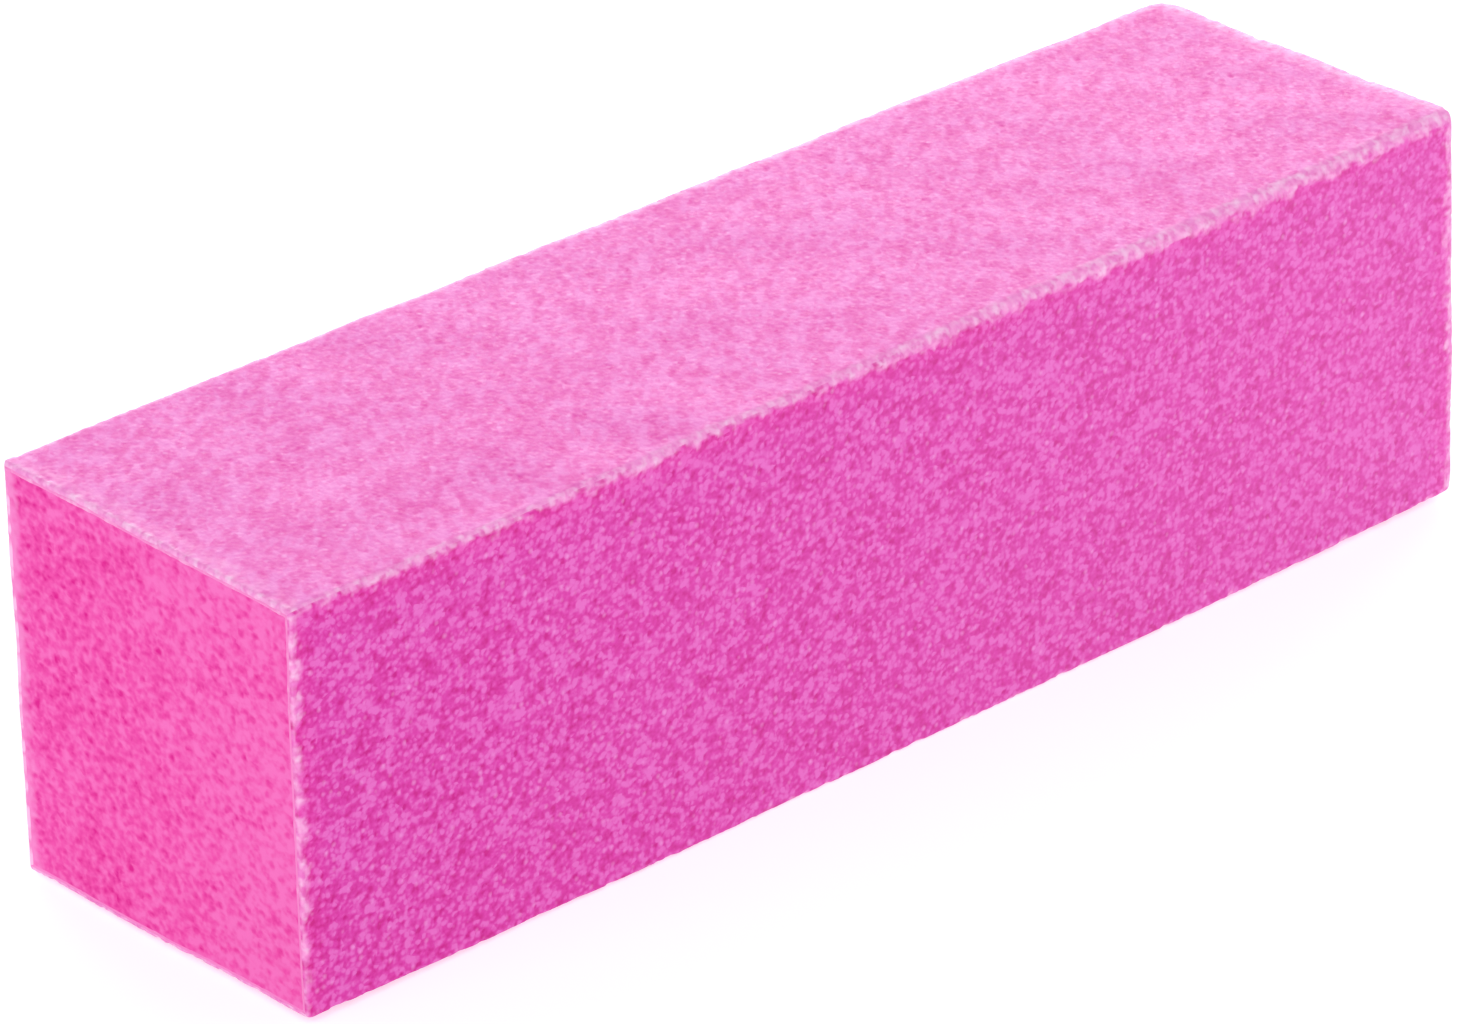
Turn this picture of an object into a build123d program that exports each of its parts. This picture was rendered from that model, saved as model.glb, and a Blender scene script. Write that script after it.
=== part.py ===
from build123d import *
import os

# Nail buffer block: a bar of soft closed-cell foam whose four long faces carry abrasive grit.
# On each long face a thin resin film bonds a layer of grit to the foam. The coats of
# neighbouring faces meet at mitres along the long edges, where the grit is worn round. The
# two ends are bare foam, where the bar is cut to length and the coats show their cut edges.
#
# X runs along the bar, Y across it and Z up. The origin is the centre of the bottom face.

# Driving dimensions, in millimetres
LENGTH = 95.0  # X, end to end
WIDTH = 25.6  # Y, over the grit
HEIGHT = 26.7  # Z, over the grit
GRIT_THICKNESS = 0.35  # the layer of grains and the resin between them
BOND_THICKNESS = 0.15  # the resin film under the grains
LONG_EDGE_RADIUS = 0.35  # the grit worn round along the four long edges
CUT_EDGE_RADIUS = 0.2  # the grit broken away where the bar is cut to length

COAT_THICKNESS = GRIT_THICKNESS + BOND_THICKNESS

# The bar's cross-section: local x is across the bar, local y is up, centred on the bar's axis
SECTION = Plane(origin=(0, 0, HEIGHT / 2), x_dir=(0, 1, 0), z_dir=(1, 0, 0))

# The two long edges that bound each long face, as signs across and up, in order round the bar
FACE_EDGES = {
    "top": [(-1, 1), (1, 1)],
    "back": [(1, 1), (1, -1)],
    "bottom": [(1, -1), (-1, -1)],
    "front": [(-1, -1), (-1, 1)],
}


def corner(edge, inset):
    """The corner of the cross-section at one long edge, `inset` inside the outer skin."""
    across, up = edge
    return (across * (WIDTH / 2 - inset), up * (HEIGHT / 2 - inset))


def layer_section(face, outer_inset, inner_inset):
    """Cross-section of the mitred strip of one long face that lies between two insets."""
    start, end = FACE_EDGES[face]
    with BuildSketch(SECTION) as strip:
        with BuildLine():
            Polyline(
                corner(start, outer_inset),
                corner(end, outer_inset),
                corner(end, inner_inset),
                corner(start, inner_inset),
                close=True,
            )
        make_face()
    return strip.sketch


def build_bond_coat(name, face):
    """The resin film on one long face: a flat strip between the foam and the grit."""
    film = layer_section(face, GRIT_THICKNESS, COAT_THICKNESS)
    with BuildPart() as bond_coat:
        extrude(film, amount=LENGTH / 2, both=True)
    bond_coat.part.label = name
    export_step(bond_coat.part, f"parts/{name}.step")


def build_grit_coat(name, face):
    """The grit on one long face: that face's strip of the bar's worn, rounded skin."""
    skin = layer_section(face, 0, GRIT_THICKNESS)
    with BuildPart() as grit_coat:
        with BuildSketch(SECTION):
            RectangleRounded(WIDTH, HEIGHT, LONG_EDGE_RADIUS)
        extrude(amount=LENGTH / 2, both=True)
        cut_edges = grit_coat.faces().filter_by(Axis.X).edges()
        fillet(cut_edges, radius=CUT_EDGE_RADIUS)
        extrude(skin, amount=LENGTH / 2, both=True, mode=Mode.INTERSECT)
    grit_coat.part.label = name
    export_step(grit_coat.part, f"parts/{name}.step")


os.makedirs("parts", exist_ok=True)

# Foam core: the whole inside of the block, and what shows at both ends
with BuildPart() as foam_core:
    with BuildSketch(SECTION):
        Rectangle(WIDTH - 2 * COAT_THICKNESS, HEIGHT - 2 * COAT_THICKNESS)
    extrude(amount=LENGTH / 2, both=True)
foam_core.part.label = "foam_core"
export_step(foam_core.part, "parts/foam_core.step")

# Each long face: the resin film on the foam, then the grit on the film
for face in FACE_EDGES:
    build_bond_coat(f"{face}_bond_coat", face)
    build_grit_coat(f"{face}_grit_coat", face)
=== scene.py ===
"""Nail buffer block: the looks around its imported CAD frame.

The block is a foam bar with grit bonded to its four long faces. Each CAD node is replaced by a
mesh that has the surface the CAD solid leaves out: single grains on the grit coats, cut cells
on the foam's ends, and beads of resin along the cut edges of the bond coats. The mesh carries
a few numbers per point, such as how high a grain stands, and the materials read them.
"""

import itertools
import math

import bpy
import numpy as np
from mathutils import Matrix, Vector


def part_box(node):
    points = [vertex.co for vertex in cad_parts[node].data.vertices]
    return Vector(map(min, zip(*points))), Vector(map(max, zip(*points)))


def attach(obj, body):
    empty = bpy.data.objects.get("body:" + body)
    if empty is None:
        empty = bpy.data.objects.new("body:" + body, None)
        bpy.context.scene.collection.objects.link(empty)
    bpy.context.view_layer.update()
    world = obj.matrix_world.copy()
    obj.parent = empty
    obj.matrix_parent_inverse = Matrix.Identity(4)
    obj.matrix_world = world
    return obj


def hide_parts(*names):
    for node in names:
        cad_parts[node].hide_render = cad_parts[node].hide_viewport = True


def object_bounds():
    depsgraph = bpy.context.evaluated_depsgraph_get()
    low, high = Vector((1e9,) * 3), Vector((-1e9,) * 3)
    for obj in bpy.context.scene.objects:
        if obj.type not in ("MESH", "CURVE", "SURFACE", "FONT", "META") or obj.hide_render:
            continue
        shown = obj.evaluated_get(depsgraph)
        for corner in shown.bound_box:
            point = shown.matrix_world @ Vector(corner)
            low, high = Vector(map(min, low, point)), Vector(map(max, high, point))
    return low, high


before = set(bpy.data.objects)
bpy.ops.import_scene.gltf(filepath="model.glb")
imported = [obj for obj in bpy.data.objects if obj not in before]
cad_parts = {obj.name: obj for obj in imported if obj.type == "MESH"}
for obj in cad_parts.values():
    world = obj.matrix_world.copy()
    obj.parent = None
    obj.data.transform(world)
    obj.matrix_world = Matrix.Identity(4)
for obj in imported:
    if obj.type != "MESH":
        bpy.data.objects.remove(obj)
cad_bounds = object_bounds()

MM = 0.001

# ---------------------------------------------------------------- the block, from the frame

LOW, HIGH = (Vector(corner) for corner in cad_bounds)
LENGTH, WIDTH, HEIGHT = HIGH - LOW
CENTRE = (LOW + HIGH) / 2


def thickness(node):
    """A coat's thickness: the shortest side of its CAD node."""
    low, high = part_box(node)
    return min(high - low)


GRIT = thickness("top_grit_coat")
BOND = thickness("top_bond_coat")
COAT = GRIT + BOND

# A coat's skin turns 45 degrees before its mitre, so it stops short of the block's side
coat_low, coat_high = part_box("top_grit_coat")
LONG_EDGE_RADIUS = (WIDTH - (coat_high.y - coat_low.y)) / 2 / (1 - math.cos(math.pi / 4))
CUT_EDGE_RADIUS = 0.2 * MM
CUT_EDGE_ARC = CUT_EDGE_RADIUS * math.pi / 2
CUT_FACE_ARC = CUT_EDGE_ARC + GRIT - CUT_EDGE_RADIUS  # from the skin to the coat's underside
FLAT_ALONG = LENGTH / 2 - CUT_EDGE_RADIUS

# Each long face: the direction across it, the way it faces, and its half width and distance
X_AXIS = np.array([1.0, 0.0, 0.0])
FACES = {
    "top": (np.array([0.0, 1.0, 0.0]), np.array([0.0, 0.0, 1.0]), WIDTH / 2, HEIGHT / 2),
    "back": (np.array([0.0, 0.0, -1.0]), np.array([0.0, 1.0, 0.0]), HEIGHT / 2, WIDTH / 2),
    "bottom": (np.array([0.0, -1.0, 0.0]), np.array([0.0, 0.0, -1.0]), WIDTH / 2, HEIGHT / 2),
    "front": (np.array([0.0, 0.0, 1.0]), np.array([0.0, -1.0, 0.0]), HEIGHT / 2, WIDTH / 2),
}

# ---------------------------------------------------------------- the surface, in numbers

SKIN_PITCH = 0.168 * MM  # point spacing on the grit
EDGE_STEPS = 4  # points round each edge of the grit
TUCK = 0.3 * MM  # how far the grit's mesh turns in behind its cut edges
FOAM_PITCH = 0.135 * MM  # point spacing on the foam's cut ends
BEAD_PITCH = 0.2 * MM  # point spacing along the bond's cut edges
RING_PITCH = 2.5 * MM  # spacing along the bar of the points on the foam's and bond's sides
FIRST_RING = 0.3 * MM  # the first of them, from each end

GRAIN_SIZE = 0.42 * MM  # centre to centre
GRAIN_REACH = 1.05  # how far from its centre a grain slopes down, in grain sizes
FINE_GRAIN = 0.55  # the smaller grains between them, as a share of that size
FINE_HEIGHT = 0.3  # and of their height
GRAIN_RELIEF = 0.055 * MM  # from between the grains to their tops
GRAIN_MIDDLE = 0.7  # the CAD's surface lies at this share of that height
GAP_SPACING = 0.85 * MM  # gaps where a grain is missing
GAP_RADIUS = 0.24 * MM
SMALLEST_GAP = 0.6  # as a share of that
GAP_BOTTOM = 0.35  # a gap's flat bottom, as a share of its own radius
GAP_DEPTH = 0.05 * MM
GAPS_LEFT_OUT = 0.25  # the share of the places for a gap that have none
CHIP_RELIEF = 0.08 * MM  # how deep the grit is broken away at its edges
CHIP_REACH = 0.5 * MM  # and how far in from the edge
CHIP_SIZE = 0.8 * MM
CHIP_STEEPNESS = 4
FULL_EDGE = 1.2  # what fades from an edge starts with this, and counts as 1 while above it
# The top and bottom are used most, and their grit is paler from dust and painted sheen. On the
# sides, clean grit makes the edges stronger pink
WORN_FACES = ("top", "bottom")
# How far the pale grit, worn and with painted glare, reaches in, at the -X end and at the +X
# end: from the cut edges and from the long arrises, on the worn faces and on the others
WORN_CUT_WEAR_AND_GLARE = (1.3 * MM, 1.6 * MM)
SIDE_CUT_WEAR_AND_GLARE = (0.22 * MM, 0.6 * MM)
WORN_ARRIS_WEAR_AND_GLARE = (0.5 * MM, 1.0 * MM)
SIDE_ARRIS_WEAR_AND_GLARE = (0.22 * MM, 0.75 * MM)
PALE_EDGE_BLUR = 0.5 * MM  # over this it fades out
PALE_EDGE_RAGGED = 2.5  # how unevenly
PALE_EDGE_CUTOFF = -1.5  # further in than this many blurs, nothing is pale
RIM_WEAR_AND_GLARE = (0.5 * MM, 1.2 * MM)  # on the worn faces, only this rim is pale all over, from wear and painted glare
RIM_FADES = 0.3  # from this share of its width
LOWER_SPARE = 0.6 * MM  # how much less the wear and painted glare reach in from the lower arrises
# How much of the wear and painted glare misses each coat's cut edge
CUT_FACE_SPARE = {"top": 1.3, "back": 0.1, "bottom": 1.2, "front": 0.5}
THIN_PAST_RIM = 0.75  # how much of the thin grit and its painted glare is gone past the rim
BROKEN_PAST_RIM = 0.7  # and of the broken grit and its painted glare
WORN_RELIEF = 0.55  # what use has left of the grains' relief in the middle of a worn face
WORN_FROM = 1 * MM  # how far in from the edges that is
STRONG_ZONE = 3.0 * MM  # how far in from the sides' edges the stronger pink reaches
SPARED_ZONE = 4  # how many times LOWER_SPARE less it reaches in from the lower arrises
SIDE_GLARE_RISE = 0.7  # how far painted glare rises on the sides towards the +X end, where the worn faces have 1
SIDE_GLARE_STRENGTH = 0.15  # how far that painted glare pales them
CELL_SIZE = 0.55 * MM  # the foam's cells
SMALLEST_CELL = 0.3  # the radius of the smallest opening, in cell sizes
WIDER_CELL = 0.35  # and how much wider the widest is
CELL_STRETCH = (1.0, 1.25, 1.0)  # they are drawn out across the block
CELL_DEPTH = 0.04 * MM  # how deep they are cut open
TEAR_RELIEF = 0.04 * MM  # the saw's tearing of the foam
TEAR_SIZE = 0.6  # the size of the tears, to that of the cells
FOAM_PALING = (-0.3, 0.5)  # where the foam starts to pale and is full: from the middle to the front, in widths
BEAD_SIZE = 0.7 * MM  # the bond's beads, along its cut edges
BEAD_RELIEF = 0.09 * MM
BEAD_COLUMNS = 5  # points across one
BEAD_CONTRAST = 2.4  # between full beads and none
BEAD_CUT = 0.7  # the higher, the fewer
BEAD_SPREAD = 1.2  # how much wider than the bond a full bead is, in thicknesses of the bond
BEAD_SHARE = {"top": 0.8, "back": 1.15, "bottom": 0.6, "front": 0.65}  # how full they are
SOAKED = 0.8 * MM  # how far resin has soaked into the foam from the back bond
SPREAD = (1.12, 1.0, 1.0)  # the clean grit's mottle is a little longer along the block
STROKE_TURN = math.radians(47)  # the way the dust is drawn out on the worn faces, from X
STROKE_STRETCH = 1.9  # and how far
FINE_NOISE = 0.4  # the size of the finer noise in ragged edges and beads, to the coarser

# The bar was sawn by eye, so it is a little out of square
FAR_END_SLANT = 0.7 * MM  # the +X end leans: short at the top, long at the bottom
# Both ends of the bottom face are worn up off the table, along the front and along the back
BOW_FRONT = 0.40 * MM
BOW_BACK = 0.20 * MM
WANDER = 0.12 * MM  # how far the arrises stray from straight
WANDER_SIZE = 5.0 * MM
TOP_CORNER_RISE = {(-1, -1): -0.18, (-1, 1): 0.35, (1, -1): 0.25, (1, 1): 0.06}  # in mm
# Corners rounded by handling: two sides of the block, each an axis and a sign, and the
# radius at the -X end and at the +X end
ROUNDED_CORNERS = [
    ((0, 1), (1, 1), 2.0 * MM, 2.0 * MM),
    ((0, 1), (1, -1), 0.4 * MM, 0.4 * MM),
    ((0, -1), (1, 1), 0.4 * MM, 0.4 * MM),
    ((0, 1), (2, -1), 0.9 * MM, 0.9 * MM),
    ((1, -1), (2, 1), 0.4 * MM, 1.0 * MM),
]

CREASE_ANGLE = math.radians(55)  # sharper folds than this aren't shaded smooth
SEEDS = {
    "grain": 11,
    "fine_grain": 12,
    "ragged": 13,
    "fine_ragged": 14,
    "bead": 15,
    "cell": 16,
    "tear": 17,
    "gap": 18,
    "fine_bead": 19,
    "wander": 31,  # and the next two, one for each axis
}
TABLE = 72  # the random tables repeat after this many cells


def grains(points, size, seed):
    """Splits space into irregular cells about `size` across.

    Returns the distance to the nearest cell centre, in cell sizes, and a random number from
    0 to 1 for that cell.
    """
    table = np.random.default_rng(seed).random((TABLE, TABLE, TABLE, 4))
    scaled = points / size
    home = np.floor(scaled).astype(int)
    nearest = np.full(len(points), np.inf)
    tone = np.zeros(len(points))
    for step in itertools.product((-1, 0, 1), repeat=3):
        cell = home + step
        drawn = table[tuple((cell % TABLE).T)]
        distance = np.linalg.norm(scaled - cell - drawn[:, :3], axis=1)
        closer = distance < nearest
        tone = np.where(closer, drawn[:, 3], tone)
        nearest = np.minimum(nearest, distance)
    return nearest, tone


def soft_noise(points, size, seed):
    """Smooth random values from 0 to 1 that change over about `size`."""
    table = np.random.default_rng(seed).random((TABLE, TABLE, TABLE))
    scaled = points / size
    home = np.floor(scaled).astype(int)
    part = scaled - home
    part = part * part * (3 - 2 * part)
    value = np.zeros(len(points))
    for step in itertools.product((0, 1), repeat=3):
        weight = np.prod(np.where(np.array(step) == 1, part, 1 - part), axis=1)
        value += weight * table[tuple(((home + step) % TABLE).T)]
    return value


def mixed_noise(points, size, coarse_share, seed, fine_seed):
    """Soft noise of one size with finer noise mixed in."""
    coarse = soft_noise(points, size, SEEDS[seed]) * coarse_share
    return coarse + soft_noise(points, size * FINE_NOISE, SEEDS[fine_seed]) * (1 - coarse_share)


def rounded_step(value, low, high):
    """Rises smoothly from 0 at `low` to 1 at `high`."""
    part = np.clip((value - low) / (high - low), 0, 1)
    return part * part * (3 - 2 * part)


def slide(points, near_value, far_value):
    """Goes evenly from one value at the -X end to another at the +X end."""
    share = np.clip((points[:, 0] - LOW.x) / LENGTH, 0, 1)
    return near_value + (far_value - near_value) * share


def round_corner(points, first, second, radius):
    """Rounds the edge where two sides of the true bar meet."""
    half = np.array([LENGTH, WIDTH, HEIGHT]) / 2
    from_centre = points - np.array(CENTRE)
    depths = []
    for axis, sign in (first, second):
        inside = half[axis] - sign * from_centre[:, axis]
        depths.append(np.maximum(1 - inside / radius, 0))
    for (axis, sign), own, other in zip((first, second), depths, depths[::-1]):
        points[:, axis] += sign * radius * own * (np.sqrt(1 - other**2 / 2) - 1)


def out_of_square(points):
    """Moves points of the true bar to where they are on the worn, hand-sawn one."""
    moved = points.copy()
    for first, second, near_radius, far_radius in ROUNDED_CORNERS:
        round_corner(moved, first, second, slide(points, near_radius, far_radius))
    along = (points[:, 0] - CENTRE.x) / LENGTH * 2
    across = (points[:, 1] - CENTRE.y) / WIDTH * 2
    up = (points[:, 2] - LOW.z) / HEIGHT
    moved[:, 0] += FAR_END_SLANT * (0.5 - up) * (1 + along) / 2
    for (side_x, side_y), rise in TOP_CORNER_RISE.items():
        share = (1 + side_x * along) / 2 * (1 + side_y * across) / 2
        moved[:, 2] += rise * MM * share * up
    bow = (BOW_FRONT * (1 - across) + BOW_BACK * (1 + across)) / 2
    moved[:, 2] += bow * along**2 * (1 - up)
    for axis, share in enumerate((1, 1, up)):
        stray = soft_noise(points, WANDER_SIZE, SEEDS["wander"] + axis) - 0.5
        moved[:, axis] += 2 * WANDER * stray * share
    return moved


# ---------------------------------------------------------------- meshes


def build_piece(name, points, faces, numbers, material, node):
    """Makes a mesh piece that stands for one CAD node and moves with the block."""
    mesh = bpy.data.meshes.new(name)
    mesh.from_pydata(out_of_square(points).tolist(), [], faces)
    for label, values in numbers.items():
        layer = mesh.attributes.new(label, "FLOAT", "POINT")
        layer.data.foreach_set("value", values.astype(np.float32))
    mesh.materials.append(material)
    mesh.shade_smooth()
    mesh.set_sharp_from_angle(angle=CREASE_ANGLE)
    piece = bpy.data.objects.new(name, mesh)
    bpy.context.scene.collection.objects.link(piece)
    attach(piece, "root")
    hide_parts(node)
    return piece


def grid_faces(rows, columns):
    """Quads over a grid of points that is stored row by row."""
    corner = (np.arange(rows - 1)[:, None] * columns + np.arange(columns - 1)).ravel()
    return np.stack([corner, corner + columns, corner + columns + 1, corner + 1], 1).tolist()


def grid_rim(rows, columns):
    """The points round the edge of a grid, in the order that closes it from behind."""
    first = np.arange(columns)
    right = np.arange(1, rows) * columns + columns - 1
    last = (rows - 1) * columns + np.arange(columns - 2, -1, -1)
    left = np.arange(rows - 2, 0, -1) * columns
    return np.concatenate([first, right, last, left]).tolist()


def grid_back(rows, columns):
    """Closes a coat from behind, strip by strip, so that its back bends with the block."""
    first = np.arange(rows) * columns
    last = first + columns - 1
    turn = EDGE_STEPS + 2  # the rows that go round a cut edge are closed in one piece
    near = np.concatenate([np.arange(columns), last[1 : turn + 1], first[turn:0:-1]])
    here, there = slice(turn, -turn - 1), slice(turn + 1, -turn)
    strips = np.stack([first[here], last[here], last[there], first[there]], 1)
    far = rows * columns - 1 - near
    return [near.tolist(), *strips.tolist(), far.tolist()]


def bar_through(end, rows, columns):
    """The points and faces of a bar whose two ends are the same grid of points.

    `end` is the grid at the middle of the bar, and the bar runs half a length each way.
    """
    half = LENGTH / 2 * X_AXIS
    rim = grid_rim(rows, columns)
    count = len(end)
    last_ring = 1 - FIRST_RING / (LENGTH / 2)
    stations = np.linspace(-last_ring, last_ring, round(LENGTH / RING_PITCH) + 1)
    rings = [end[rim] + station * half for station in stations]
    points = np.concatenate([end - half, end + half] + rings)

    quads = np.array(grid_faces(rows, columns))
    faces = quads[:, ::-1].tolist() + (quads + count).tolist()
    inner = 2 * count + np.arange(len(rings) * len(rim)).reshape(len(rings), len(rim))
    loops = np.vstack([rim, inner, np.array(rim) + count])
    for here, there in zip(loops, loops[1:]):
        sides = np.stack([here, there, np.roll(there, -1), np.roll(here, -1)], 1)
        faces += sides.tolist()
    return points, faces


def spread_points(flat, turned):
    """Evenly spaced places along a flat stretch, and closer ones round the edge at each end."""
    middle = np.linspace(-flat, flat, round(2 * flat / SKIN_PITCH) + 1)
    edge = flat + turned * np.linspace(0, 1, EDGE_STEPS + 1)[1:]
    return np.concatenate([-edge[::-1], middle, edge])


def skin_lines(flat_across):
    """Where the lines of a coat's grid lie, along the block and across the face.

    Both are measured over the skin from the middle of the face.
    """
    across = spread_points(flat_across, LONG_EDGE_RADIUS * math.pi / 4)
    across = np.concatenate([across[:1], across, across[-1:]])  # the mitres' inner lines
    along = spread_points(FLAT_ALONG, CUT_FACE_ARC)
    tuck = CUT_FACE_ARC + FLAT_ALONG + TUCK  # the last lines turn in behind the cut edges
    return np.concatenate([[-tuck], along, [tuck]]), across


def fold_at_cut_edges(along):
    """Takes places along the skin round the cut edges.

    Returns X, how far the skin has turned, and how deep below the skin it has come.
    """
    past = np.abs(along) - FLAT_ALONG
    turn = np.clip(past / CUT_EDGE_RADIUS, 0, math.pi / 2)
    depth = CUT_EDGE_RADIUS * (1 - np.cos(turn)) + np.maximum(past - CUT_EDGE_ARC, 0)
    tucked = np.maximum(past - CUT_FACE_ARC, 0)
    reach = CUT_EDGE_RADIUS * np.sin(turn) - tucked
    x = np.clip(along, -FLAT_ALONG, FLAT_ALONG) + np.sign(along) * reach
    return x, turn, depth


def place_on_face(face, x, across, out):
    """Points, or directions, from their parts along, across and out of a long face."""
    across_axis, out_axis, _, _ = FACES[face]
    return x[:, None] * X_AXIS + across[:, None] * across_axis + out[:, None] * out_axis


def skin_grid(face):
    """A grid over one long face's grit, from mitre to mitre and round both cut edges.

    Returns the points, the outward directions, how much of the relief each point takes, and
    how many points there are each way.
    """
    _, _, half_across, half_out = FACES[face]
    flat_across = half_across - LONG_EDGE_RADIUS
    along, across = skin_lines(flat_across)
    rows, columns = len(along), len(across)
    along, across = (values.ravel() for values in np.meshgrid(along, across, indexing="ij"))
    column = np.tile(np.arange(columns), rows)
    on_mitre = (column == 0) | (column == columns - 1)

    turn = np.clip((np.abs(across) - flat_across) / LONG_EDGE_RADIUS, 0, math.pi / 4)
    turn *= np.sign(across)
    skin_across = np.clip(across, -flat_across, flat_across) + LONG_EDGE_RADIUS * np.sin(turn)
    skin_out = half_out - LONG_EDGE_RADIUS * (1 - np.cos(turn))
    inner_across = np.clip(skin_across, -(half_across - GRIT), half_across - GRIT)
    inner_across = np.where(on_mitre, np.sign(across) * (half_across - GRIT), inner_across)

    x, end_turn, depth = fold_at_cut_edges(along)
    inward = np.where(on_mitre, 1, np.clip(depth / GRIT, 0, 1))
    points = place_on_face(
        face,
        x,
        skin_across * (1 - inward) + inner_across * inward,
        skin_out * (1 - inward) + (half_out - GRIT) * inward,
    )
    facing = place_on_face(
        face,
        np.sign(along) * np.sin(end_turn),
        np.cos(end_turn) * np.sin(turn),
        np.cos(end_turn) * np.cos(turn),
    )
    share = np.where(on_mitre, 0, 1 - np.clip(depth / GRIT, 0, 1) ** 4)
    return points + np.array(CENTRE), facing, share, rows, columns


def grain_heights(points):
    """How high the grains stand, from 0 to 1."""
    nearest, tone = grains(points, GRAIN_SIZE, SEEDS["grain"])
    fine, _ = grains(points, GRAIN_SIZE * FINE_GRAIN, SEEDS["fine_grain"])
    peak = np.clip(GRAIN_REACH - nearest, 0, 1) * (0.5 + 0.5 * tone)
    peak = peak + FINE_HEIGHT * (1 - fine)
    return (peak - peak.min()) / (peak.max() - peak.min())


def missing_grains(points):
    """Gaps of different widths: 1 in the middle of a gap, 0 outside."""
    distance, drawn = grains(points, GAP_SPACING, SEEDS["gap"])
    radius = GAP_RADIUS / GAP_SPACING * (SMALLEST_GAP + (1 - SMALLEST_GAP) * drawn)
    gap = 1 - rounded_step(distance, GAP_BOTTOM * radius, radius)
    return gap * (drawn > GAPS_LEFT_OUT)


def edge_distances(points):
    """How far points are from the nearest cut edge and long arris, and under the skin."""
    inside = np.array([LENGTH, WIDTH, HEIGHT]) / 2 - np.abs(points - np.array(CENTRE))
    to_cut = np.maximum(inside[:, 0], 0)
    to_arris = np.maximum(inside[:, 1:].max(axis=1), 0)
    return to_cut, to_arris, inside[:, 1:].min(axis=1)


def spared_wear_and_glare(points):
    """How much less the wear and painted glare reach in: all of it at the bottom, none from
    halfway up.
    """
    height = (points[:, 2] - LOW.z) / HEIGHT
    return LOWER_SPARE * (1 - rounded_step(height, 0, 0.5))


def edge_wear_and_glare(face, points, ragged):
    """How worn each point is, with the painted glare on the edges, and so how pale, from 0 to
    1.
    """
    to_cut, to_arris, below_skin = edge_distances(points)
    spared = spared_wear_and_glare(points)
    if face in WORN_FACES:
        cut_reach = slide(points, *WORN_CUT_WEAR_AND_GLARE) - spared
        arris_reach = slide(points, *WORN_ARRIS_WEAR_AND_GLARE) - spared
    else:
        cut_reach = slide(points, *SIDE_CUT_WEAR_AND_GLARE)
        arris_reach = slide(points, *SIDE_ARRIS_WEAR_AND_GLARE) - spared
    # Pale edges: worn grit, and painted glare where the edges would catch the light
    nearness = np.maximum(cut_reach - to_cut, arris_reach - to_arris) / PALE_EDGE_BLUR
    cut_depth = np.clip(below_skin / GRIT, 0, 1) * (to_cut == 0)
    nearness = nearness - CUT_FACE_SPARE[face] * cut_depth
    worn = np.clip(0.5 + nearness + (ragged - 0.5) * PALE_EDGE_RAGGED, 0, 1)
    return worn * (nearness > PALE_EDGE_CUTOFF)


def grit_coat(face, material):
    """The abrasive grains of one long face, broken along their edges, and pale there from wear
    and painted glare.
    """
    points, facing, share, rows, columns = skin_grid(face)
    peak = grain_heights(points)
    gap = missing_grains(points)
    ragged = mixed_noise(points, CHIP_SIZE, 0.5, "ragged", "fine_ragged")
    worn = edge_wear_and_glare(face, points, ragged)

    used = face in WORN_FACES
    to_cut, to_arris, _ = edge_distances(points)
    to_edge = np.minimum(to_cut, to_arris)
    past_rim = used * rounded_step(to_edge / slide(points, *RIM_WEAR_AND_GLARE), RIM_FADES, 1)
    to_used_edge = np.minimum(to_cut, to_arris + SPARED_ZONE * spared_wear_and_glare(points))
    strong = np.clip(1 - to_used_edge / STRONG_ZONE, 0, 1) ** 2
    chipped = np.clip(FULL_EDGE - to_edge / CHIP_REACH, 0, 1)
    chipped = chipped * np.clip((ragged - 0.5) * CHIP_STEEPNESS, 0, 1)
    left = 1 - (1 - WORN_RELIEF) * used * rounded_step(to_edge, 0, WORN_FROM)
    lift = left * (GRAIN_RELIEF * (peak - GRAIN_MIDDLE) - GAP_DEPTH * gap)
    lift = lift - CHIP_RELIEF * chipped
    points = points + facing * (lift * share)[:, None]
    numbers = {
        "grain_height": peak,
        "gap": gap,
        # Pale edges: worn grit, and painted glare on the edges
        "broken_grit_and_glare": worn * (1 - BROKEN_PAST_RIM * past_rim),
        "thin_grit_and_glare": worn * (1 - THIN_PAST_RIM * past_rim),
        "strong_pink": strong * (1 - worn) * (not used),
        # 1 on the worn faces, for their dust and painted sheen; on the sides, painted glare
        # rising towards the +X end
        "paling": np.ones(len(points)) if used else slide(points, 0, SIDE_GLARE_RISE),
    }
    faces = grid_faces(rows, columns) + grid_back(rows, columns)
    name = f"{face}_grit"
    return build_piece(
        name, points, faces, numbers, material, f"{face}_grit_coat"
    )


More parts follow.
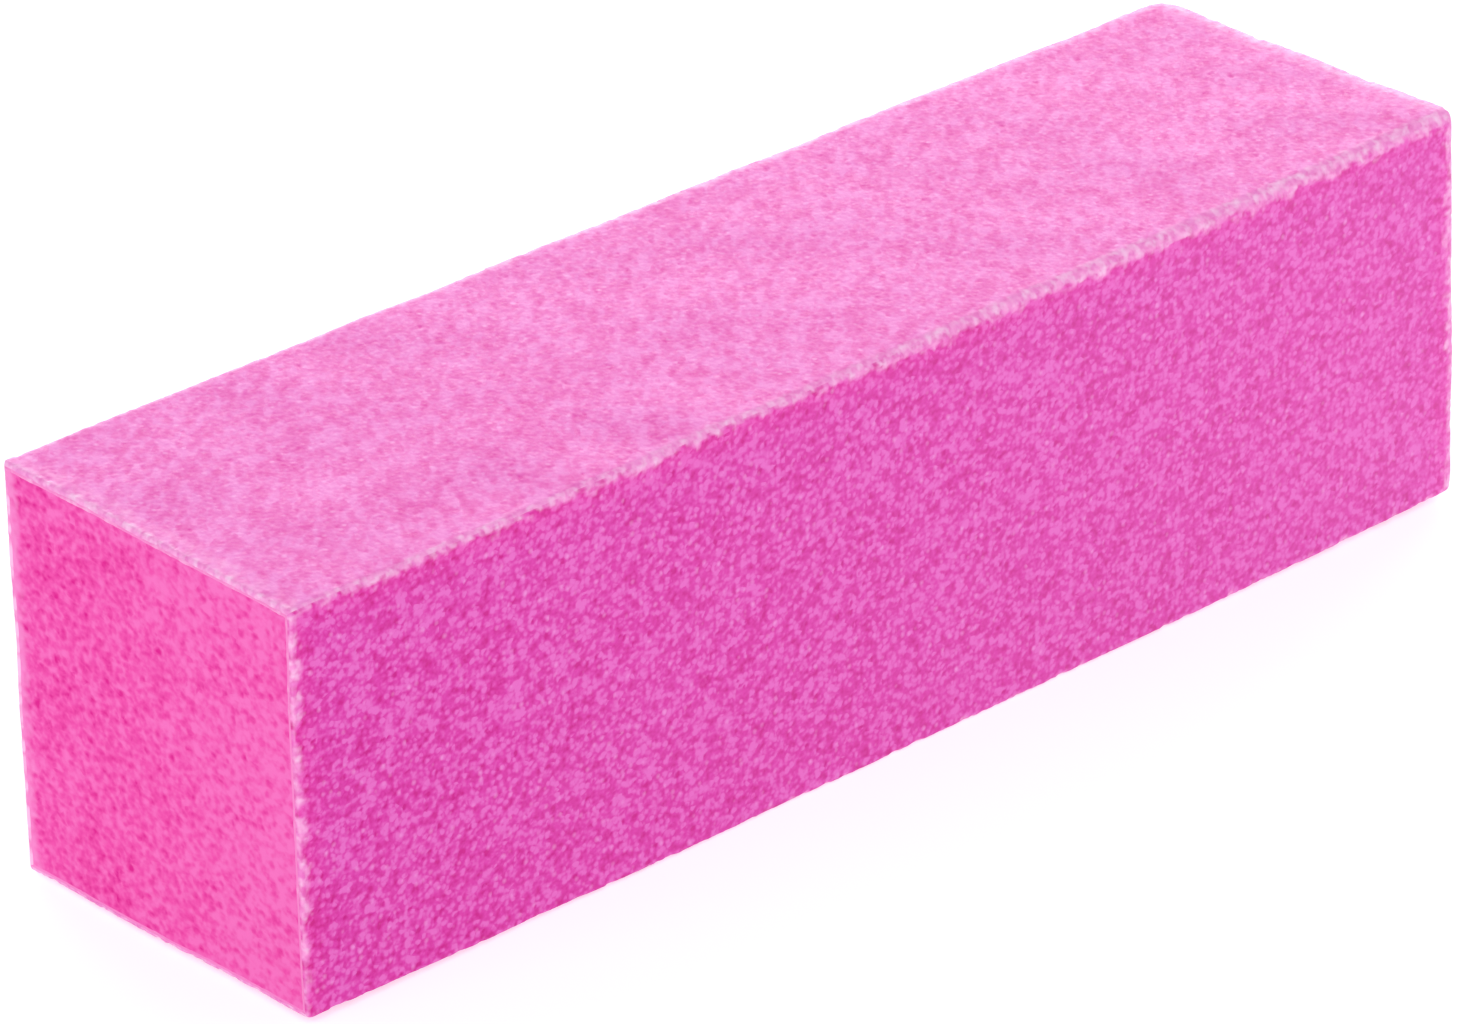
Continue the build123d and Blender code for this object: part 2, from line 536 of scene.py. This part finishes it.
def bond_coat(face, material):
    """The resin film of one long face, whose cut edge stands out of both ends as beads."""
    across_axis, out_axis, half_across, half_out = FACES[face]
    columns = BEAD_COLUMNS
    rows = round(2 * (half_across - GRIT) / BEAD_PITCH) + 1
    share_across = np.repeat(np.linspace(-1, 1, rows), columns)
    layer = np.tile(np.linspace(0, 1, columns), rows)
    across = share_across * (half_across - COAT + BOND * layer)
    end = across[:, None] * across_axis + (half_out - COAT + BOND * layer)[:, None] * out_axis
    end = end + np.array(CENTRE)
    points, faces = bar_through(end, rows, columns)

    at_ends = slice(0, 2 * len(end))
    bead = mixed_noise(points, BEAD_SIZE, 0.6, "bead", "fine_bead") * BEAD_SHARE[face]
    full = np.clip(bead[at_ends] * BEAD_CONTRAST - BEAD_CUT, 0, 1)
    middle = np.tile(layer, 2) - 0.5
    crest = 1 - (2 * middle) ** 2
    points[at_ends, 0] += np.sign(points[at_ends, 0] - CENTRE.x) * crest * BEAD_RELIEF * full
    spread = middle * BOND * BEAD_SPREAD * full
    points[at_ends] += spread[:, None] * out_axis
    name = f"{face}_bond"
    return build_piece(
        name, points, faces, {"bead": bead}, material, f"{face}_bond_coat"
    )


def foam_core(material):
    """The foam bar: sawn ends with open cells, joined by plain sides under the coats."""
    half_y, half_z = WIDTH / 2 - COAT, HEIGHT / 2 - COAT
    y = np.linspace(-half_y, half_y, round(2 * half_y / FOAM_PITCH) + 1)
    z = np.linspace(-half_z, half_z, round(2 * half_z / FOAM_PITCH) + 1)
    grid_y, grid_z = (values.ravel() for values in np.meshgrid(y, z, indexing="ij"))
    end = np.stack([np.zeros(len(grid_y)), grid_y, grid_z], 1) + np.array(CENTRE)
    points, faces = bar_through(end, len(y), len(z))

    drawn_in = points / np.array(CELL_STRETCH)
    nearest, tone = grains(drawn_in, CELL_SIZE, SEEDS["cell"])
    radius = SMALLEST_CELL + WIDER_CELL * tone
    open_cell = np.clip(1 - (nearest / radius) ** 2, 0, 1) * tone
    tear = soft_noise(drawn_in, CELL_SIZE * TEAR_SIZE, SEEDS["tear"]) - 0.5
    rim = np.minimum(half_y - np.abs(grid_y), half_z - np.abs(grid_z))
    share = np.zeros(len(points))
    share[: 2 * len(end)] = np.tile(np.clip(rim / (2 * FOAM_PITCH), 0, 1), 2)
    dent = CELL_DEPTH * open_cell - TEAR_RELIEF * tear
    points[:, 0] -= np.sign(points[:, 0] - CENTRE.x) * share * dent
    paling = rounded_step(-(points[:, 1] - CENTRE.y) / WIDTH, *FOAM_PALING)
    from_back = CENTRE.y + half_y - points[:, 1]
    soaked = np.clip(FULL_EDGE - from_back / SOAKED + tear, 0, 1)
    numbers = {"open_cell": open_cell, "cell_tone": tone, "paling": paling, "soaked": soaked}
    piece = build_piece("foam_bar", points, faces, numbers, material, "foam_core")
    return piece


# ---------------------------------------------------------------- materials

# Colours are linear red, green and blue. A ramp gives them with the level that each stands
# for, from the deep colour between the grains (partly painted shade) through the usual one, to
# the palest
CLEAN_GRIT = (
    (0.20, (0.60, 0.002, 0.26)),
    (0.62, (0.705, 0.037, 0.405)),
    (1.00, (0.785, 0.138, 0.555)),
)
# Paler grit for the worn faces: dust, and painted sheen
DUST_AND_SHEEN_GRIT = (
    (0.20, (0.69, 0.015, 0.355)),
    (0.66, (0.747, 0.09, 0.462)),
    (1.00, (0.785, 0.18, 0.575)),
)
# Painted glare on the sides, towards the +X end
GLARE_COLOUR = (0.92, 0.30, 0.73)
UNCHANGED = (1.0, 1.0, 1.0)  # for multiplying
STRONGER = (1.05, 0.60, 0.87)
# Painted glints: pale dots that stand for light glinting off single grains
GLINT_COLOUR = (0.90, 0.42, 0.80)
# Pale edge colours: worn grit, with painted glare on the edges
THIN_GRIT_AND_GLARE = (0.93, 0.34, 0.70)
BROKEN_GRIT_AND_GLARE = (0.95, 0.62, 0.86)
FOAM = (
    (0.10, (0.72, 0.005, 0.27)),
    (0.58, (0.845, 0.071, 0.408)),
    (1.00, (0.89, 0.155, 0.52)),
)
SOAKED_FOAM = (0.90, 0.27, 0.62)
SOAKED_SHARE = 0.8
BOND_RESIN = ((0.40, (0.88, 0.20, 0.56)), (0.70, (0.94, 0.50, 0.79)))
PALE_TABLE = ((0.3, (0.61, 0.61, 0.61)), (0.7, (0.63, 0.63, 0.63)))
TABLE_CLOUDS = 80 * MM
TABLE_GLOW = 0.55

BUMP_STRENGTH = 0.8
FINE_BUMP_SIZE = 0.12 * MM
FINE_BUMP_SHARE = 0.5
GRAIN_BUMP = 0.015 * MM
RESIN_BUMP = 0.02 * MM
NOISE_RANGE = (0.3, 0.7)  # where most of a noise's values lie
GRIT_ROUGHNESS = (0.48, 0.62)
RESIN_ROUGHNESS = (0.4, 0.6)


def add(tree, kind, inputs=None, **settings):
    """Adds a shader node, with its settings, and sets or links its inputs."""
    node = tree.nodes.new("ShaderNode" + kind)
    for name, value in settings.items():
        setattr(node, name, value)
    for key, value in (inputs or {}).items():
        if isinstance(value, bpy.types.NodeSocket):
            tree.links.new(value, node.inputs[key])
        else:
            node.inputs[key].default_value = value
    return node


def start_material(name):
    """An empty node material and its surface shader."""
    material = bpy.data.materials.new(name)
    material.use_nodes = True
    tree = material.node_tree
    tree.nodes.clear()
    shader = add(tree, "BsdfPrincipled")
    add(tree, "OutputMaterial", {"Surface": shader.outputs["BSDF"]})
    return material, tree, shader


def mesh_number(tree, label):
    """One of the numbers that the mesh carries for each point."""
    return add(tree, "Attribute", attribute_name=label).outputs["Fac"]


def place_on(tree, stretch=(1, 1, 1), turn=0):
    """Where a point is on the object, drawn out along the axes after a turn about Z."""
    place = add(tree, "TexCoord").outputs["Object"]
    inputs = {"Vector": place, "Rotation": (0, 0, turn), "Scale": stretch}
    return add(tree, "Mapping", inputs, vector_type="TEXTURE").outputs["Vector"]


def noise(tree, size, detail=2.0, roughness=0.5, stretch=(1, 1, 1), turn=0):
    """Smooth noise from 0 to 1 with features about `size` across, fixed to the object."""
    place = place_on(tree, stretch, turn)
    inputs = {"Vector": place, "Scale": 1 / size, "Detail": detail, "Roughness": roughness}
    return add(tree, "TexNoise", inputs).outputs["Fac"]


def cells(tree, size, stretch=(1, 1, 1), turn=0):
    """Irregular cells about `size` across: a random number each, and domes from 0 to 1."""
    place = place_on(tree, stretch, turn)
    node = add(tree, "TexVoronoi", {"Vector": place, "Scale": 1 / size})
    number = add(tree, "SeparateColor", {"Color": node.outputs["Color"]}).outputs["Red"]
    return number, rescale(tree, node.outputs["Distance"], 0.0, 0.8, 1.0, 0.0)


def ramp(tree, factor, *stops):
    """A smooth colour scale through (position, colour) stops."""
    node = add(tree, "ValToRGB", {"Fac": factor})
    scale = node.color_ramp
    while len(scale.elements) < len(stops):
        scale.elements.new(0.5)
    for element, (position, colour) in zip(scale.elements, stops):
        element.position = position
        element.color = (*colour, 1)
    return node.outputs["Color"]


def rescale(tree, value, low, high, new_low, new_high):
    """Maps low..high onto new_low..new_high."""
    inputs = {
        "Value": value,
        "From Min": low,
        "From Max": high,
        "To Min": new_low,
        "To Max": new_high,
    }
    return add(tree, "MapRange", inputs).outputs["Result"]


def calculate(tree, operation, first, second):
    """Adds, subtracts or multiplies two numbers."""
    return add(tree, "Math", {0: first, 1: second}, operation=operation).outputs["Value"]


def blend(tree, factor, first, second, mode="MIX"):
    """Mixes two colours."""
    node = add(tree, "Mix", data_type="RGBA", blend_type=mode)
    for socket, value in (("Factor", factor), ("A", first), ("B", second)):
        target = [s for s in node.inputs if s.name == socket and s.enabled][0]
        if isinstance(value, bpy.types.NodeSocket):
            tree.links.new(value, target)
        else:
            target.default_value = value if isinstance(value, float) else (*value, 1)
    return [s for s in node.outputs if s.enabled][0]


def blend_numbers(tree, factor, first, second):
    """Mixes two numbers."""
    inputs = {0: factor, 2: first, 3: second}
    return add(tree, "Mix", inputs, data_type="FLOAT").outputs[0]


def add_bump(tree, shader, height, distance):
    """Roughens the shading by a height from 0 to 1, with a little finer grain on top."""
    fine = noise(tree, FINE_BUMP_SIZE, detail=2.0)
    fine = calculate(tree, "MULTIPLY", fine, FINE_BUMP_SHARE)
    height = calculate(tree, "ADD", height, fine)
    inputs = {"Height": height, "Distance": distance, "Strength": BUMP_STRENGTH}
    bump = add(tree, "Bump", inputs)
    tree.links.new(bump.outputs["Normal"], shader.inputs["Normal"])


def mottle(tree, *terms):
    """A level round 0.5, raised and lowered by (number round 0.5, weight) terms."""
    level = 0.5 * (1 - sum(weight for _, weight in terms))
    for value, weight in terms:
        scaled = calculate(tree, "MULTIPLY", value, weight)
        level = calculate(tree, "ADD", level, scaled)
    return level


def dots(tree, size, low, high, stretch=(1, 1, 1), turn=0):
    """Soft round dots in some of the cells about `size` across, from 0 to 1."""
    number, dome = cells(tree, size, stretch, turn)
    return rescale(tree, calculate(tree, "MULTIPLY", number, dome), low, high, 0.0, 1.0)


def grit_mottle(tree, dust_and_sheen):
    """How pale the grit is, round 0.5: finely mottled where clean, in strokes where there is
    dust and painted sheen, and lower between the grains, partly painted shade.
    """
    grain_height = mesh_number(tree, "grain_height")
    gap = mesh_number(tree, "gap")
    clean = mottle(
        tree,
        # lower on low grains and in the gaps, higher on grain tops: partly the grains' own
        # tone, partly painted shade and highlight
        (grain_height, 0.25),
        (gap, -0.6),
        (dots(tree, 0.36 * MM, 0.0, 0.5, SPREAD), 0.46),
        (noise(tree, 0.48 * MM, detail=1.5, roughness=0.6, stretch=SPREAD), 1.55),
    )
    strokes = {"stretch": (STROKE_STRETCH, 1, 1), "turn": STROKE_TURN}
    paling = mottle(
        tree,
        # the same, weaker: partly the grains' own tone, partly painted shade and highlight
        (grain_height, 0.12),
        (gap, -0.35),
        (dots(tree, 0.5 * MM, 0.0, 0.6, **strokes), -0.35),
        (noise(tree, 0.8 * MM, detail=2.0, roughness=0.6, **strokes), 1.5),
    )
    return mottle(
        tree,
        (blend_numbers(tree, dust_and_sheen, clean, paling), 1.0),
        (noise(tree, 1.6 * MM, detail=1.0), 0.35),
        (noise(tree, 5.0 * MM, detail=2.0), 0.25),
    )


def grit_colour(tree):
    """The colour of whole grit: clean, or paler with dust and painted sheen, with painted glare
    on the sides towards the +X end, and stronger near the clean edges.
    """
    paling_level = mesh_number(tree, "paling")
    dust_and_sheen = rescale(tree, paling_level, SIDE_GLARE_RISE, 1.0, 0.0, 1.0)
    level = grit_mottle(tree, dust_and_sheen)
    clean_colour = ramp(tree, level, *CLEAN_GRIT)
    dust_and_sheen_colour = ramp(tree, level, *DUST_AND_SHEEN_GRIT)
    colour = blend(tree, dust_and_sheen, clean_colour, dust_and_sheen_colour)
    # Painted glare that pales the sides towards the +X end
    painted_glare = rescale(tree, paling_level, 0.0, SIDE_GLARE_RISE, 0.0, SIDE_GLARE_STRENGTH)
    painted_glare = calculate(tree, "MULTIPLY", painted_glare, calculate(tree, "SUBTRACT", 1.0, dust_and_sheen))
    colour = blend(tree, painted_glare, colour, GLARE_COLOUR)
    stronger = blend(tree, mesh_number(tree, "strong_pink"), UNCHANGED, STRONGER)
    return blend(tree, 1.0, colour, stronger, "MULTIPLY")


def pale_grit(tree, colour):
    """Adds painted glints as pale dots, and pales the grit along its edges, where wear has
    thinned or chipped it and where painted glare lies.
    """
    # Painted glints on single grains
    painted_glints = calculate(tree, "MULTIPLY", dots(tree, 0.55 * MM, 0.45, 0.85), 0.4)
    colour = blend(tree, painted_glints, colour, GLINT_COLOUR)
    # Thin and broken grit along the edges, which also carries painted glare
    patches = rescale(tree, noise(tree, 0.45 * MM, detail=1.0), 0.35, 0.65, 0.45, 1.0)
    thin = calculate(tree, "MULTIPLY", mesh_number(tree, "thin_grit_and_glare"), patches)
    colour = blend(tree, thin, colour, THIN_GRIT_AND_GLARE)
    lumps = rescale(tree, noise(tree, 0.6 * MM, detail=2.0), 0.45, 0.75, 0.0, 0.8)
    broken = calculate(tree, "MULTIPLY", mesh_number(tree, "broken_grit_and_glare"), lumps)
    return blend(tree, broken, colour, BROKEN_GRIT_AND_GLARE)


def grit_material():
    """Pink resin over mineral grains: deep between the grains, partly painted shade, pale on
    their tops, partly painted highlight, and pale on the edges, partly painted glare.
    """
    material, tree, shader = start_material("abrasive_grit")
    colour = pale_grit(tree, grit_colour(tree))
    tree.links.new(colour, shader.inputs["Base Color"])
    roughness = rescale(tree, noise(tree, 0.3 * MM), *NOISE_RANGE, *GRIT_ROUGHNESS)
    tree.links.new(roughness, shader.inputs["Roughness"])
    shader.inputs["Specular IOR Level"].default_value = 0.3
    _, grain_dome = cells(tree, 0.36 * MM)
    add_bump(tree, shader, grain_dome, GRAIN_BUMP)
    return material


def foam_material():
    """Hot pink foam: darker in the open cells, partly painted shade, paler towards the front,
    with a soft chalky skin.
    """
    material, tree, shader = start_material("foam")
    _, pore_dome = cells(tree, 0.4 * MM)
    level = mottle(
        tree,
        # darker in the open cells: partly the cells' own tone, partly painted shade inside them
        (mesh_number(tree, "open_cell"), -0.45),
        (mesh_number(tree, "cell_tone"), 0.1),
        (mesh_number(tree, "paling"), 0.22),
        (dots(tree, 0.48 * MM, 0.0, 0.6, CELL_STRETCH), -0.3),
        (noise(tree, 0.52 * MM, 1.5, 0.6, CELL_STRETCH), 1.42),
        (noise(tree, 3.5 * MM, detail=2.0), 0.5),
    )
    colour = ramp(tree, level, *FOAM)
    soaked = calculate(tree, "MULTIPLY", mesh_number(tree, "soaked"), SOAKED_SHARE)
    colour = blend(tree, soaked, colour, SOAKED_FOAM)
    tree.links.new(colour, shader.inputs["Base Color"])
    shader.inputs["Roughness"].default_value = 0.75
    shader.inputs["Specular IOR Level"].default_value = 0.25
    add_bump(tree, shader, pore_dome, GRAIN_BUMP)
    return material


def bond_material():
    """Set resin, whitened in beads where it is cut."""
    material, tree, shader = start_material("bond_resin")
    colour = ramp(tree, mesh_number(tree, "bead"), *BOND_RESIN)
    tree.links.new(colour, shader.inputs["Base Color"])
    roughness = rescale(tree, noise(tree, 0.4 * MM), *NOISE_RANGE, *RESIN_ROUGHNESS)
    tree.links.new(roughness, shader.inputs["Roughness"])
    add_bump(tree, shader, noise(tree, 0.2 * MM), RESIN_BUMP)
    return material


def floor_material():
    """A pale table that gives off a little light of its own, as for a product picture."""
    material, tree, shader = start_material("pale_table")
    colour = ramp(tree, noise(tree, TABLE_CLOUDS, detail=2.0), *PALE_TABLE)
    tree.links.new(colour, shader.inputs["Base Color"])
    shader.inputs["Roughness"].default_value = 0.9
    shader.inputs["Specular IOR Level"].default_value = 0.1
    shader.inputs["Emission Color"].default_value = (1, 1, 1, 1)
    shader.inputs["Emission Strength"].default_value = TABLE_GLOW
    return material


# ---------------------------------------------------------------- the studio

VIEW_AZIMUTH = math.radians(-42.42)
VIEW_ELEVATION = math.radians(26.74)
VIEW_ROLL = math.radians(-1.12)
VIEW_DISTANCE = 516.6 * MM
VIEW_TARGET = Vector((CENTRE.x - 2.77 * MM, CENTRE.y, LOW.z + 12.28 * MM))
LENS_MM = 211.7
SENSOR_MM = 36.0
FLOOR_SIZE = 6.0
ROOM_LIGHT = 0.55  # how strongly the white room lights the block
ROOM_SEEN = 1.0  # how bright it looks behind the block
# Each softbox: name, azimuth and elevation in degrees, distance, width and height in metres,
# watts
SOFTBOXES = [
    ("back_strip", 138, 18, 0.8, 1.0, 0.35, 6.4),
    ("key_softbox", -36, 50, 0.8, 0.5, 0.5, 1.6),
    ("left_softbox", -85, 35, 0.7, 0.4, 0.3, 0.78),
    ("right_softbox", 35, 18, 0.3, 0.16, 0.16, 0.09),
]


def axes_towards(azimuth, elevation, roll):
    """The right, up and back directions of a camera at that azimuth and elevation."""
    back = Vector(
        (
            math.sin(azimuth) * math.cos(elevation),
            -math.cos(azimuth) * math.cos(elevation),
            math.sin(elevation),
        )
    )
    right = Vector((math.cos(azimuth), math.sin(azimuth), 0))
    up = back.cross(right)
    turned_right = right * math.cos(roll) + up * math.sin(roll)
    turned_up = up * math.cos(roll) - right * math.sin(roll)
    return turned_right, turned_up, back


def look_at(thing, target, distance, azimuth, elevation, roll=0):
    """Puts a camera or a lamp in the scene, that far from the target and facing it."""
    right, up, back = axes_towards(azimuth, elevation, roll)
    turn = Matrix((right, up, back)).transposed().to_4x4()
    thing.matrix_world = Matrix.Translation(target + back * distance) @ turn
    bpy.context.scene.collection.objects.link(thing)


def add_camera():
    """The camera, at the picture's angle."""
    data = bpy.data.cameras.new("camera")
    data.lens = LENS_MM
    data.sensor_width = SENSOR_MM
    camera = bpy.data.objects.new("camera", data)
    look_at(camera, VIEW_TARGET, VIEW_DISTANCE, VIEW_AZIMUTH, VIEW_ELEVATION, VIEW_ROLL)
    bpy.context.scene.camera = camera


def add_softbox(name, azimuth, elevation, distance, width, height, watts):
    """An area lamp that looks at the block."""
    data = bpy.data.lights.new(name, "AREA")
    data.shape = "RECTANGLE"
    data.size = width
    data.size_y = height
    data.energy = watts
    lamp = bpy.data.objects.new(name, data)
    look_at(lamp, CENTRE, distance, math.radians(azimuth), math.radians(elevation))


def add_room():
    """White surroundings, brighter to the camera than they light the block."""
    world = bpy.data.worlds.new("white_room")
    world.use_nodes = True
    tree = world.node_tree
    tree.nodes.clear()
    seen = add(tree, "LightPath").outputs["Is Camera Ray"]
    strength = rescale(tree, seen, 0, 1, ROOM_LIGHT, ROOM_SEEN)
    background = add(tree, "Background", {"Color": (1, 1, 1, 1), "Strength": strength})
    add(tree, "OutputWorld", {"Surface": background.outputs["Background"]})
    bpy.context.scene.world = world
    bpy.context.scene.view_settings.view_transform = "Standard"


def add_table():
    """A plain pale floor, at the height of the lowest point of the block."""
    half = FLOOR_SIZE / 2
    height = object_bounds()[0][2]
    corners = [(-half, -half), (half, -half), (half, half), (-half, half)]
    mesh = bpy.data.meshes.new("table")
    mesh.from_pydata([(x, y, height) for x, y in corners], [], [(0, 1, 2, 3)])
    mesh.materials.append(floor_material())
    table = bpy.data.objects.new("table", mesh)
    bpy.context.scene.collection.objects.link(table)


# ---------------------------------------------------------------- the whole scene

grit = grit_material()
bond = bond_material()
for face in FACES:
    grit_coat(face, grit)
    bond_coat(face, bond)
foam_core(foam_material())
add_camera()
add_room()
add_table()
for softbox in SOFTBOXES:
    add_softbox(*softbox)
